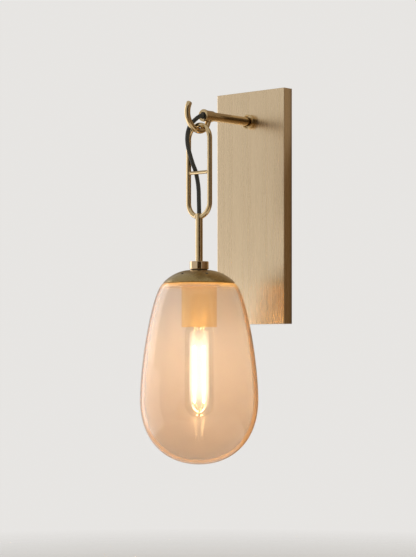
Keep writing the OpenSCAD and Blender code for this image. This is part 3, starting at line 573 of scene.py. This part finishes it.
def makePlate():
    low, high = span("backplate")
    halfX, halfZ, front = high[0], high[2], low[1]
    wall, edge, chamfer, fold = (plate[key] for key in ("wall", "edge", "chamfer", "fold"))
    inner, middle = front + wall, halfX - 0.01
    turn = np.radians(np.linspace(0, 90, 7))
    # inset from the outline, and place in Y, from the back edge round the front and back inside
    inset = np.concatenate([[wall, chamfer, 0, 0], edge * (1 - np.cos(turn)), np.linspace(2, middle, 6),
                            np.linspace(middle, wall + 2, 5), [wall + fold, wall, wall]])
    place = np.concatenate([[0, 0, -chamfer, front + edge * 1.5], front + edge * (1 - np.sin(turn)),
                            np.full(6, front), np.full(6, inner), [inner + fold, -fold]])
    n = plate["sides"]
    quarter = np.radians(np.linspace(0, 90, n))
    corners = [(1, 1, 0), (-1, 1, 90), (-1, -1, 180), (1, -1, 270)]
    rings = []
    for sx, sz, turnBy in corners:
        a = quarter + math.radians(turnBy)
        radius = np.clip(plate["corner"] - inset, plate["leastCorner"], None)[:, None]
        x = sx * (halfX - inset[:, None] - radius) + radius * np.cos(a)
        z = sz * (halfZ - inset[:, None] - radius) + radius * np.sin(a)
        rings.append(np.stack([x, place[:, None] + 0 * x, z], -1))
    fit(gridMesh("backplateShell", np.concatenate(rings, 1), closeRound=True, closeAlong=True, sharp=50),
        plateBrass, "fixture", "backplate")


makePlate()
print("backplate made")


# Arm

arm = {"diameter": 10, "wall": 1, "grooveStep": 0.45, "grooveDepth": 0.22, "endTaper": 0.3}
rose = {"diameter": 16.6, "rim": 1.3, "round": 0.25}
ferrule = {"diameter": 12, "lip": 13.6, "lipLength": 2.2, "mouth": 7.6, "socket": 7}


def makeArm():
    low, high = span("arm_tube")
    r = arm["diameter"] / 2
    bore, seat = r - arm["wall"], r + play
    # ring grooves stand for the thread behind the plate
    threadTo, threadFrom = high[1], span("backplate")[0][1] + plate["wall"]
    groove = np.arange(threadFrom + 0.5, threadTo - 0.4, arm["grooveStep"])
    crest = np.stack([r - arm["grooveDepth"] * (np.arange(len(groove)) % 2), groove], -1)
    shape = np.concatenate([[[r, low[1]], [r, threadFrom]], crest,
                            [[r - arm["endTaper"], threadTo], [bore, threadTo], [bore, low[1]]]])
    fit(turned("armTube", shape, "arm", 72, sharp=25), rodBrass, "fixture", "arm_tube")

    low, high = span("arm_rose")
    r, rim = rose["diameter"] / 2, rose["rim"]
    front, back = low[1], high[1]
    floor = back - rim
    shape = rounded([[seat, floor], [r - rim, floor], [r - rim, front], [r, front], [r, back], [seat, back]],
                    [0.05, 1.6, rose["round"], rose["round"], 0.15, 0.05], 5)
    fit(turned("armRose", shape, "arm", 96), rodBrass, "fixture", "arm_rose")

    low, high = span("arm_ferrule")
    mouth, back = low[1], high[1]
    r, lip, bore = ferrule["diameter"] / 2, ferrule["lip"] / 2, ferrule["mouth"] / 2
    step = mouth + ferrule["lipLength"]
    end = back - ferrule["socket"]
    shape = rounded([[bore, mouth], [lip, mouth], [lip, step], [r, step], [r, back], [seat, back], [seat, end],
                     [bore, end]], [0.5, 0.45, 0.3, 0.2, 0.5, 0.1, 0.05, 0.05], 5)
    fit(turned("armFerrule", shape, "arm", 96), rodBrass, "fixture", "arm_ferrule")

    low, high = span("mouth_bushing")
    inner, outer = cord["diameter"] / 2 + 0.05, bore - play
    shape = rounded([[inner, low[1]], [outer, low[1]], [outer, high[1]], [inner, high[1]]], 0.35, 4)
    fit(turned("mouthBushing", shape, "arm", 64), blackRubber, "fixture", "mouth_bushing")


makeArm()


# Hook

hook = {"rod": 6.4, "radius": 19, "rootRadius": 15, "lowest": 79.8, "tip": 30, "tipLength": 1.5,
        "tipTaper": 0.7, "sink": 1.2, "braze": 1.5, "brazeSwell": 0.45, "mostSwell": 0.9}


def makeHook():
    r, low = hook["rod"] / 2, hook["lowest"]
    big = arc((lampAxis[1], low + hook["radius"]), hook["radius"], 180 - hook["tip"], 270, 64)
    root = arc((lampAxis[1], low + hook["rootRadius"]), hook["rootRadius"], 270, 360, 34)[1:]
    under = armHeight - ferrule["diameter"] / 2
    rise = np.linspace(root[-1][1], under + hook["sink"], 6)[1:]
    rise = np.stack([np.full(5, root[-1][0]), rise], -1)
    away = np.array([math.sin(math.radians(hook["tip"])), math.cos(math.radians(hook["tip"]))])
    t = np.linspace(0, 1, 9)[::-1]
    tip = big[0] + hook["tipLength"] * np.sin(t * np.pi / 2)[:, None] * away
    line = np.concatenate([tip, big[1:], root, rise])
    radius = np.full(len(line), r)
    radius[:9] = r - hook["tipTaper"] * (1 - np.cos(t * np.pi / 2))
    # the rooted end swells where it is brazed to the ferrule
    past = np.clip(line[:, 1] - (under - hook["braze"]), 0, None)
    rooted = np.linspace(0, 1, len(line)) > 0.8
    radius = radius + np.where(rooted, hook["brazeSwell"] * (past / hook["braze"]) ** 2, 0)
    path = np.concatenate([np.zeros((len(line), 1)), line], 1)
    piece = carried("armHook", path, np.minimum(radius, r + hook["mostSwell"]), (1, 0, 0), 48)
    fit(piece, rodBrass, "fixture", "hook")


makeHook()
print("arm and hook made")


# Link and stem

link = {"rod": 5.5, "width": 36.8, "footSink": 0.5, "footFlare": 0.55, "footRun": 1.3, "bar": 3.8,
        "barSink": 0.35, "barFlare": 0.5, "barRun": 0.55, "barPoints": 41}
stem = {"diameter": 8, "wall": 1}
collar = {"diameter": 21.0}


def makeLink():
    low, high = span("link")
    r = link["rod"] / 2
    bend = (link["width"] - link["rod"]) / 2
    top, foot = high[2] - link["width"] / 2, low[2] + link["width"] / 2
    start = math.degrees(math.asin((stem["diameter"] / 2 - link["footSink"]) / bend))
    line = np.concatenate([
        arc((0, foot), bend, -90 + start, 0, 36), arc((0, top), bend, 0, 180, 72),
        arc((0, foot), bend, 180, 270 - start, 36)])
    path = np.stack([line[:, 0], np.full(len(line), lampAxis[1]), line[:, 1]], -1)
    run = np.minimum(np.arange(len(line)), np.arange(len(line))[::-1])
    radius = r + link["footFlare"] * np.exp(-run / link["footRun"])
    fit(carried("hangingLink", path, radius, (0, 1, 0), 48), rodBrass, "pendant", "link")

    height = sum(span("link_crossbar")[i][2] for i in (0, 1)) / 2
    reach, points = bend - r + link["barSink"], link["barPoints"]
    x = np.linspace(-reach, reach, points)
    radius = link["bar"] / 2 + link["barFlare"] * np.exp(-(reach - np.abs(x)) / link["barRun"])
    path = np.stack([x, np.full(points, lampAxis[1]), np.full(points, height)], -1)
    fit(carried("linkCrossbar", path, radius, (0, 0, 1), 32), rodBrass, "pendant", "link_crossbar")


def makeStem():
    low, high = span("stem")
    r = stem["diameter"] / 2
    bore = r - stem["wall"]
    shape = rounded([[bore, low[2]], [r, low[2]], [r, high[2]], [bore, high[2]]], [0.1, 0.1, 0.35, 0.3], 4)
    fit(turned("stemTube", shape, around=72), rodBrass, "pendant", "stem")

    low, high = span("stem_collar")
    inner, r = stem["diameter"] / 2 + play, collar["diameter"] / 2
    shape = rounded([[inner, low[2]], [r, low[2]], [r, high[2]], [inner, high[2]]], [0.1, 0.7, 0.7, 0.5], 5)
    fit(turned("stemCollar", shape), collarBrass, "pendant", "stem_collar")

    low, high = span("collar_washer")
    r = high[0]
    shape = rounded([[nippleHole, low[2]], [r, low[2]], [r, high[2]], [nippleHole, high[2]]], 0.3, 3)
    fit(turned("collarWasher", shape), blackRubber, "pendant", "collar_washer")


makeLink()
makeStem()
print("link and stem made")


# Cap

cap = {"radius": 39.5, "height": 14.2, "wall": 1.2, "topRadius": 10.2, "shoulder": 0.43,
       "rimPull": (0.155, 0.415), "rimFrom": 0.35, "rimTo": 0.3, "vents": 6, "vent": 3.2, "ventRing": 54.2}


def applyModifiers(piece):
    seen = piece.evaluated_get(bpy.context.evaluated_depsgraph_get())
    mesh = bpy.data.meshes.new_from_object(seen)
    piece.modifiers.clear()
    piece.data = mesh
    mesh.set_sharp_from_angle(angle=math.radians(35))


def facesOf(piece):
    # each face's middle, in metres, and its normal
    count = len(piece.data.polygons)
    middle, normal = np.empty(count * 3), np.empty(count * 3)
    piece.data.polygons.foreach_get("center", middle)
    piece.data.polygons.foreach_get("normal", normal)
    return middle.reshape(-1, 3), normal.reshape(-1, 3)


def makeCap():
    rim = span("cap")[0][2]
    r, height = cap["radius"], cap["height"]
    reach = r - cap["topRadius"]
    line = bezier([cap["topRadius"], height], [cap["topRadius"] + cap["shoulder"] * reach, height],
                  [r - cap["rimPull"][0] * reach, cap["rimPull"][1] * height], [r, cap["rimFrom"]], 48)
    inside = inwards(line, cap["wall"])
    inside = inside[inside[:, 1] > cap["rimTo"]]
    shape = np.concatenate([[[nippleHole, height], [nippleHole + 2, height]], line,
                            [[r - 0.12, 0.1], [r - 0.45, 0.0], [r - 0.95, 0.0]], inside[::-1],
                            [[nippleHole, height - cap["wall"]]]])
    shape[:, 1] += rim
    piece = turned("shadeCap", shape, around=144, sharp=40)
    cutters = []
    for i in range(cap["vents"]):
        turn = math.radians(360 * i / cap["vents"] - 90)
        x, y = cap["ventRing"] / 2 * math.cos(turn), cap["ventRing"] / 2 * math.sin(turn) + lampAxis[1]
        path = np.array([[x, y, rim - 2], [x, y, rim + 20]])
        cutters.append(carried(f"ventCutter{i}", path, cap["vent"] / 2, (1, 0, 0), 24))
    for cutter in cutters:
        cut = piece.modifiers.new("vent", "BOOLEAN")
        cut.operation, cut.object, cut.solver = "DIFFERENCE", cutter, "EXACT"
    applyModifiers(piece)
    for cutter in cutters:
        bpy.data.objects.remove(cutter)
    piece.data.materials.clear()
    fit(piece, agedBrass, "pendant", "cap")
    # the vents' walls and the cap's underside get a dark finish: painted shade, so that the vents read as dark
    # holes
    piece.data.materials.append(darkSteelAndPaintedShade)
    middle, normal = facesOf(piece)
    middle = middle / mm
    x, y = middle[:, 0] - lampAxis[0], middle[:, 1] - lampAxis[1]
    away = np.hypot(x, y)
    outwards = (normal[:, 0] * x + normal[:, 1] * y) / away
    hole = (np.abs(normal[:, 2]) < 0.02) & (np.abs(away - cap["ventRing"] / 2) < cap["vent"])
    under = (normal[:, 2] < -0.2) & (outwards < 0.2) & (middle[:, 2] > rim + 0.4)
    piece.data.polygons.foreach_set("material_index", (hole | under).astype(np.int32))


makeCap()


# Glass shade

shade = {"radius": 65, "height": 199.2, "waist": 128.7, "wall": 3.5, "neck": 26, "gap": 0.5, "inset": 0.1,
         "shoulder": (0.43, 0.03), "side": 0.343, "belly": 0.63, "pole": 0.574, "neckRound": 0.6, "bend": 0.8,
         "heart": 110}


def makeShade():
    rim = span("cap")[0][2]
    top = span("glass_shade")[1][2] - rim
    wall, neck, gap, soft, bend = (shade[key] for key in ("wall", "neck", "gap", "neckRound", "bend"))
    r0, r1 = cap["radius"] - shade["inset"], shade["radius"]
    z0, z1 = -gap, -shade["waist"]
    lowest = shade["height"] - shade["waist"]
    across, down = shade["shoulder"]
    upper = bezier([r0, z0], [r0 + across * (r1 - r0), z0 - down * shade["waist"]],
                   [r1, z1 + shade["side"] * shade["waist"]], [r1, z1], 60)
    lower = bezier([r1, z1], [r1, z1 - shade["belly"] * lowest], [shade["pole"] * r1, -shade["height"]],
                   [0, -shade["height"]], 64)[1:]
    line = np.concatenate([upper, lower])
    inside = inwards(line, wall)
    inside = inside[(inside[:, 1] < -gap - wall - 0.3) & (inside[:, 0] > 0.4)]
    neckIn = neck - wall
    shape = np.concatenate([
        [[neckIn + soft, top], [neck - soft, top], [neck, top - soft], [neck, -gap + 0.4], [neck + 0.5, -gap]],
        line, [[0, -shade["height"] + wall]], inside[::-1],
        [[neckIn + bend, -gap - wall], [neckIn, -gap - wall + bend], [neckIn, top - soft]]])
    shape[:, 1] += rim
    piece = turned("glassShade", shape, around=160, sharp=50)
    fit(piece, outerGlass, "shade", "glass_shade")
    # faces that look at the shade's heart are its inner skin
    piece.data.materials.append(innerGlass)
    middle, normal = facesOf(piece)
    away = middle - np.array([lampAxis[0], lampAxis[1], rim - shade["heart"]]) * mm
    piece.data.polygons.foreach_set("material_index", ((away * normal).sum(1) < 0).astype(np.int32))


makeShade()
print("cap and shade made")


# Cup of the lamp holder

cup = {"wall": 0.8, "round": 1.2}


def makeCup():
    low, high = span("socket_cup")
    r, wall = high[0], cup["wall"]
    shape = rounded([[nippleHole, high[2]], [r, high[2]], [r, low[2]], [r - wall, low[2]],
                     [r - wall, high[2] - wall], [nippleHole, high[2] - wall]],
                    [0.05, cup["round"], 0.35, 0.35, 0.8, 0.05], 5)
    fit(turned("socketCup", shape), cupBrass, "pendant", "socket_cup")


makeCup()


# Bulb

bulb = {"radius": 15.9, "neckRadius": 12.65, "neckHeight": 13, "neckIn": 2.5, "capRadius": 13.2, "capRows": 90,
        "shellHole": 11.2, "shellTaper": 1.3, "thread": 3.6, "threadDepth": 0.75, "ring": 7.0, "filament": 0.95,
        "filamentPoints": 40, "count": 4, "wire": 0.35, "wirePoints": 24, "endSink": 0.6, "pinch": 18}


def makeBulb():
    capLow, capHigh = span("bulb_cap")
    neck = capLow[2]
    lowest = span("bulb_envelope")[0][2]
    side = neck - bulb["neckHeight"]
    r = bulb["radius"]
    upper = bezier([bulb["neckRadius"], neck], [bulb["neckRadius"], neck - bulb["neckHeight"] / 2],
                   [r, side + bulb["neckHeight"] / 2], [r, side], 20)
    a = np.radians(np.linspace(0, 90, 24))
    lower = np.stack([r * np.cos(a), lowest + r * (1 - np.sin(a))], -1)
    shape = np.concatenate([[[bulb["neckRadius"], neck + bulb["neckIn"]]], upper, lower,
                            [[0, neck + bulb["neckIn"]]]])
    fit(turned("bulbGlassTube", shape, around=96, sharp=50), bulbGlass, "bulb", "bulb_envelope")

    def thread(radius, along, angle):
        # a rounded screw thread: the radius dips once each pitch, and the dip climbs with the angle
        phase = 2 * np.pi * (along - capLow[2]) / bulb["thread"] - angle
        inBody = (along > capLow[2] + 3) & (along < capHigh[2] - 2) & (radius > bulb["capRadius"] - 0.1)
        return radius - np.where(inBody, bulb["threadDepth"] * (0.5 + 0.5 * np.cos(phase)), 0)

    r, hole, inner = bulb["capRadius"], bulb["shellHole"], bulb["capRadius"] - bulb["shellTaper"]
    rows = np.linspace(capLow[2], capHigh[2] - 0.6, bulb["capRows"])
    shape = np.concatenate([np.stack([np.full(len(rows), r), rows], -1),
                            [[r - 0.7, capHigh[2]], [hole, capHigh[2]], [hole, capHigh[2] - 0.5],
                             [inner, capHigh[2] - 0.5], [inner, capLow[2]]]])
    fit(turned("bulbScrewCap", shape, around=72, sharp=60, ripple=thread), bulbMetal, "bulb", "bulb_cap")

    low, high = (corner[2] for corner in span("bulb_tip"))
    shape = [[4.5, low], [4.3, low + 0.6], [3.4, high - 0.25], [1.6, high], [0, high], [0, low]]
    fit(turned("bulbTip", shape, around=40), bulbMetal, "bulb", "bulb_tip")
    low, high = (corner[2] for corner in span("bulb_insulator"))
    shape = [[11.5, low], [11.3, low + 0.6], [8.5, low + 1.7], [6.2, high - 0.3], [5.6, high], [0, high],
             [0, low]]
    fit(turned("bulbInsulator", shape, around=56), blackGlass, "bulb", "bulb_insulator")


def makeFilaments():
    low, high = span("filaments")
    neck = span("bulb_cap")[0][2]
    floor = span("filament_stem")[0][2]
    pinch = neck - bulb["pinch"]
    lengths = np.linspace(0, 1, bulb["filamentPoints"])
    t = np.linspace(0, 1, bulb["wirePoints"])[:, None]
    pieces, wires = [], []
    for i in range(bulb["count"]):
        turn = 2 * math.pi * i / bulb["count"]
        x, y = bulb["ring"] * math.cos(turn), bulb["ring"] * math.sin(turn) + lampAxis[1]
        z = high[2] + (low[2] - high[2]) * lengths
        radius = bulb["filament"] * np.clip(np.sin(np.pi * np.clip(lengths * 22, 0, 0.5)), 0.2, 1) \
            * np.clip(np.sin(np.pi * np.clip((1 - lengths) * 22, 0, 0.5)), 0.2, 1)
        pieces.append(carried("filament", np.stack([x + 0 * z, y + 0 * z, z], -1), radius, (1, 0, 0), 16))

        def beside(share, height):
            # a point at the share of the way from the lamp's axis to this filament
            return np.array([x * share, lampAxis[1] + (y - lampAxis[1]) * share, height])

        # the upper wire leaves the glass pinch, bows out and comes down to the filament, and the lower one bows
        # in to the rod's foot
        upper = (beside(0.25, pinch), beside(1.35, (pinch + high[2]) / 2 + 1),
                 np.array([x, y, high[2] - bulb["endSink"]]))
        lowEnd, foot = np.array([x, y, low[2] + bulb["endSink"]]), beside(0.1, floor + 1.0)
        bow = (lowEnd + foot) / 2 + np.array([x * 0.22, (y - lampAxis[1]) * 0.22, -1.6])
        for start, middle, end in (upper, (lowEnd, bow, foot)):
            route = (1 - t) ** 2 * start + 2 * t * (1 - t) * middle + t ** 2 * end
            wires.append(carried("wire", route, bulb["wire"], (1, 0, 0), 10))
    fit(joined("filamentRods", pieces), filamentGlow, "bulb", "filaments")
    fit(joined("filamentWires", wires), bulbMetal, "bulb", "filament_wires")

    # glass mount: flare on the neck, tube, flattened pinch, then the thin rod down the middle
    shape = [[12.6, neck + 3.4], [12.6, neck + 2.6], [9.0, neck + 1.4], [6.2, neck - 2.5], [5.2, neck - 7],
             [5.0, neck - 13], [4.6, neck - 16.5], [3.2, neck - 18.6], [1.1, neck - 19.6], [0.9, neck - 22],
             [0.9, floor + 1.5], [1.5, floor + 0.9], [1.2, floor + 0.15], [0, floor], [0, neck + 3.4]]
    fit(turned("bulbMount", shape, around=48, sharp=70), mountGlass, "bulb", "filament_stem")


def joined(name, pieces):
    # one object from several, for a set of alike pieces on one body
    work = bmesh.new()
    for piece in pieces:
        work.from_mesh(piece.data)
    mesh = bpy.data.meshes.new(name)
    work.to_mesh(mesh)
    work.free()
    for piece in pieces:
        bpy.data.objects.remove(piece)
    mesh.shade_smooth()
    mesh.set_sharp_from_angle(angle=math.radians(40))
    whole = bpy.data.objects.new(name, mesh)
    bpy.context.scene.collection.objects.link(whole)
    return whole


makeBulb()
makeFilaments()
print("bulb made")


# CAD nodes that stay, with their finishes

finishes = {
    "wall_bracket": zincSteel, "backplate_screws": darkSteelAndPaintedShade, "ground_screw": groundGreen,
    "ground_lead": greenSleeve, "terminal_block": ivoryNylon, "block_screw": zincSteel,
    "terminal_screws": contactBrass, "arm_lock_washer": zincSteel, "arm_locknut": zincSteel,
    "arm_cord": cordInside, "supply_leads": darkSleeve,
    "nipple": zincSteel, "cap_spacer": zincSteel, "gallery": agedBrass, "neck_gasket": whiteRubber,
    "cup_lock_washer": zincSteel, "cup_locknut": zincSteel, "lampholder_body": porcelain,
    "lampholder_shell": contactBrass, "lampholder_contact": contactBrass, "lampholder_terminals": contactBrass,
    "stem_cord": cordInside, "socket_leads": darkSleeve}

for node, material in finishes.items():
    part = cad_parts[node]
    part.data.materials.clear()
    part.data.materials.append(material)
    weld = part.modifiers.new("weld", "WELD")
    weld.merge_threshold = 1e-6


# Light

makeWorld()
makeFloor()
lamp("keySoftbox", (-1.19, -0.25, 0.02), (0, -0.1, -0.05), (0.9, 1.5), 7.0, (1, 0.97, 0.95),
     scattered=False)
lamp("leftFill", (-1.19, -0.25, 0.02), (0, -0.1, -0.05), (0.9, 1.5), 3.0, (0.90, 0.95, 1.0), mirrored=False)
lamp("frontSoftbox", (0.1, -1.75, 1.0), (0, -0.08, -0.05), (0.9, 0.9), 9, mirrored=False)
lamp("rightFill", (1.15, -0.25, -0.1), (0, -0.1, -0.15), (0.8, 1.2), 7.5, (1.0, 0.74, 0.34), mirrored=False)
flag("cardLeft", (-0.40, -0.31, -0.40), (0, -0.1, -0.25), (0.50, 0.60), (1.7, 1.65, 1.65, 1))
flag("flagWallHigh", (0.32, 0.36, 0.62), (0.32, -0.1, 0.62), (1.96, 1.0), (0.30, 0.23, 0.16, 1))
flag("flagWallLow", (0.32, 0.36, -0.38), (0.32, -0.1, -0.38), (1.96, 1.0), (0.15, 0.095, 0.048, 1))
flag("flagRight", (1.28, -0.02, 0.0), (0, -0.1, 0.0), (0.80, 2.0), (0.22, 0.15, 0.10, 1))
flag("flagNear", (0.83, -0.93, 0.0), (0, -0.1, 0.0), (1.10, 1.8), (0.035, 0.022, 0.01, 1))
flag("flagBelow", (0.35, -0.55, -0.42), (0.1, -0.1, 0.1), (0.9, 0.6), (0.26, 0.18, 0.10, 1))
print("studio made")
